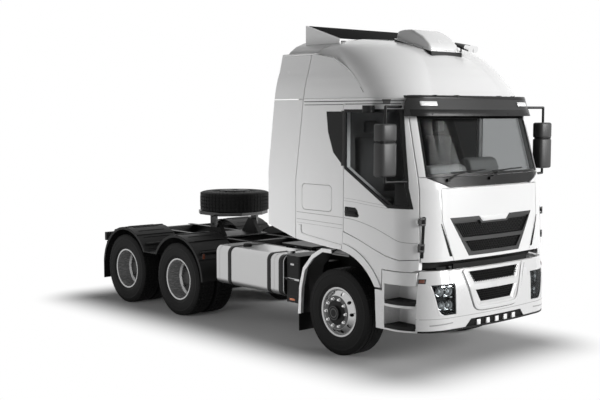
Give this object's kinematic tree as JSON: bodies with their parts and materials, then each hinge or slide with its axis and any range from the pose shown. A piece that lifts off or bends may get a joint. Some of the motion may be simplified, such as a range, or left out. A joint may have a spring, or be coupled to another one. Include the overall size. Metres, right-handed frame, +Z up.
{
  "type": "semi truck tractor unit",
  "caption": "High-roof sleeper-cab road tractor with twin driven rear axles, tilting cab, opening doors and flap, steered front wheels and a fifth wheel carrying a spare wheel.",
  "frame": {"origin": "centre of the bounding box on the ground, under the tyres", "axes": "+X forward, +Y to the vehicle's left, +Z up"},
  "size_m": [6.825, 3.09, 3.967],
  "materials": {
    "white_paint": "gloss",
    "frame_paint": "satin",
    "engine_grey": "matte",
    "cast_steel": "satin",
    "coupling_steel": "greased",
    "tank_metal": "brushed",
    "strap_steel": "satin",
    "wheel_bright": "polished",
    "wheel_dark": "satin",
    "tyre_rubber": "matte",
    "flap_rubber": "matte",
    "black_plastic": "matte",
    "dark_gloss": "gloss",
    "window_glass": "tinted",
    "lamp_glass": "clear",
    "horn_chrome": "polished",
    "seat_fabric": "woven",
    "cab_plastic": "grained"
  },
  "bodies": {
    "chassis": {"frame": "frame_paint", "front_axle": "cast_steel", "drive_axles": "cast_steel", "suspension": "frame_paint", "engine": "engine_grey", "fuel_tanks": "tank_metal", "tank_straps": "strap_steel", "side_boxes": "black_plastic", "bumper": "white_paint", "bumper_grilles": "black_plastic", "lamps": "lamp_glass", "step_units": "white_paint", "front_mudguards": "white_paint", "rear_mudguards": "black_plastic", "mudflaps": "flap_rubber", "fifth_wheel_base": "frame_paint"},
    "fifth_wheel": {"fifth_wheel": "coupling_steel", "spare_tyre": "tyre_rubber", "spare_rim": "wheel_dark"},
    "cab": {"cab_shell": "white_paint", "cab_roof": "white_paint", "roof_fairing": "white_paint", "side_deflectors": "white_paint", "sun_visor": "dark_gloss", "windscreen": "window_glass", "cab_trim": "dark_gloss", "outer_panels": "white_paint", "roof_box": "white_paint", "air_horns": "horn_chrome", "seats": "seat_fabric", "dashboard": "cab_plastic", "steering_wheel": "black_plastic", "bunk": "seat_fabric"},
    "front_flap": {"front_flap": "white_paint", "grille": "black_plastic"},
    "door_right": {"door_right": "white_paint", "door_trim_right": "black_plastic", "door_glass_right": "window_glass"},
    "locker_lid_right": {"locker_lid_right": "white_paint"},
    "knuckle_right": {"knuckle_right": "cast_steel"},
    "front_wheel_right": {"front_tyre_right": "tyre_rubber", "front_rim_right": "wheel_bright"},
    "front_drive_wheels_right": {"front_drive_tyres_right": "tyre_rubber", "front_drive_rims_right": "wheel_dark"},
    "rear_drive_wheels_right": {"rear_drive_tyres_right": "tyre_rubber", "rear_drive_rims_right": "wheel_dark"},
    "door_left": {"door_left": "white_paint", "door_trim_left": "black_plastic", "door_glass_left": "window_glass"},
    "locker_lid_left": {"locker_lid_left": "white_paint"},
    "knuckle_left": {"knuckle_left": "cast_steel"},
    "front_wheel_left": {"front_tyre_left": "tyre_rubber", "front_rim_left": "wheel_bright"},
    "front_drive_wheels_left": {"front_drive_tyres_left": "tyre_rubber", "front_drive_rims_left": "wheel_dark"},
    "rear_drive_wheels_left": {"rear_drive_tyres_left": "tyre_rubber", "rear_drive_rims_left": "wheel_dark"}
  },
  "joints": [
    {"name": "cab_tilt", "type": "hinge", "parent": "chassis", "child": "cab", "pos_m": [3.1875, 0, 1.05], "axis": [0, 1, 0], "range_deg": [0, 60]},
    {"name": "front_flap_lift", "type": "hinge", "parent": "cab", "child": "front_flap", "pos_m": [3.3335, 0, 2.049], "axis": [0, -1, 0], "range_deg": [0, 85]},
    {"name": "fifth_wheel_pitch", "type": "hinge", "parent": "chassis", "child": "fifth_wheel", "pos_m": [-1.5925, 0, 1.235], "axis": [0, 1, 0], "range_deg": [-10, 10]},
    {"name": "door_swing_right", "type": "hinge", "parent": "cab", "child": "door_right", "pos_m": [3.1965, -1.12, 1.545], "axis": [0, 0, 1], "range_deg": [0, 80]},
    {"name": "locker_lid_lift_right", "type": "hinge", "parent": "cab", "child": "locker_lid_right", "pos_m": [1.6475, -1.2455, 2.0305], "axis": [-1, 0, 0], "range_deg": [0, 80]},
    {"name": "steer_right", "type": "hinge", "parent": "chassis", "child": "knuckle_right", "pos_m": [1.9875, -0.925, 0.522], "axis": [0, 0, 1], "range_deg": [-38, 38]},
    {"name": "front_wheel_spin_right", "type": "hinge", "parent": "knuckle_right", "child": "front_wheel_right", "pos_m": [1.9875, -1.065, 0.522], "axis": [0, 1, 0], "continuous": true},
    {"name": "front_drive_spin_right", "type": "hinge", "parent": "chassis", "child": "front_drive_wheels_right", "pos_m": [-1.3125, -0.94, 0.522], "axis": [0, 1, 0], "continuous": true},
    {"name": "rear_drive_spin_right", "type": "hinge", "parent": "chassis", "child": "rear_drive_wheels_right", "pos_m": [-2.6925, -0.94, 0.522], "axis": [0, 1, 0], "continuous": true},
    {"name": "door_swing_left", "type": "hinge", "parent": "cab", "child": "door_left", "pos_m": [3.1965, 1.12, 1.545], "axis": [0, 0, -1], "range_deg": [0, 80]},
    {"name": "locker_lid_lift_left", "type": "hinge", "parent": "cab", "child": "locker_lid_left", "pos_m": [1.6475, 1.2455, 2.0305], "axis": [1, 0, 0], "range_deg": [0, 80]},
    {"name": "steer_left", "type": "hinge", "parent": "chassis", "child": "knuckle_left", "pos_m": [1.9875, 0.925, 0.522], "axis": [0, 0, 1], "range_deg": [-38, 38]},
    {"name": "front_wheel_spin_left", "type": "hinge", "parent": "knuckle_left", "child": "front_wheel_left", "pos_m": [1.9875, 1.065, 0.522], "axis": [0, 1, 0], "continuous": true},
    {"name": "front_drive_spin_left", "type": "hinge", "parent": "chassis", "child": "front_drive_wheels_left", "pos_m": [-1.3125, 0.94, 0.522], "axis": [0, 1, 0], "continuous": true},
    {"name": "rear_drive_spin_left", "type": "hinge", "parent": "chassis", "child": "rear_drive_wheels_left", "pos_m": [-2.6925, 0.94, 0.522], "axis": [0, 1, 0], "continuous": true}
  ],
  "couplings": [
    {"joint": "steer_left", "follows": "steer_right", "ratio": 1}
  ]
}
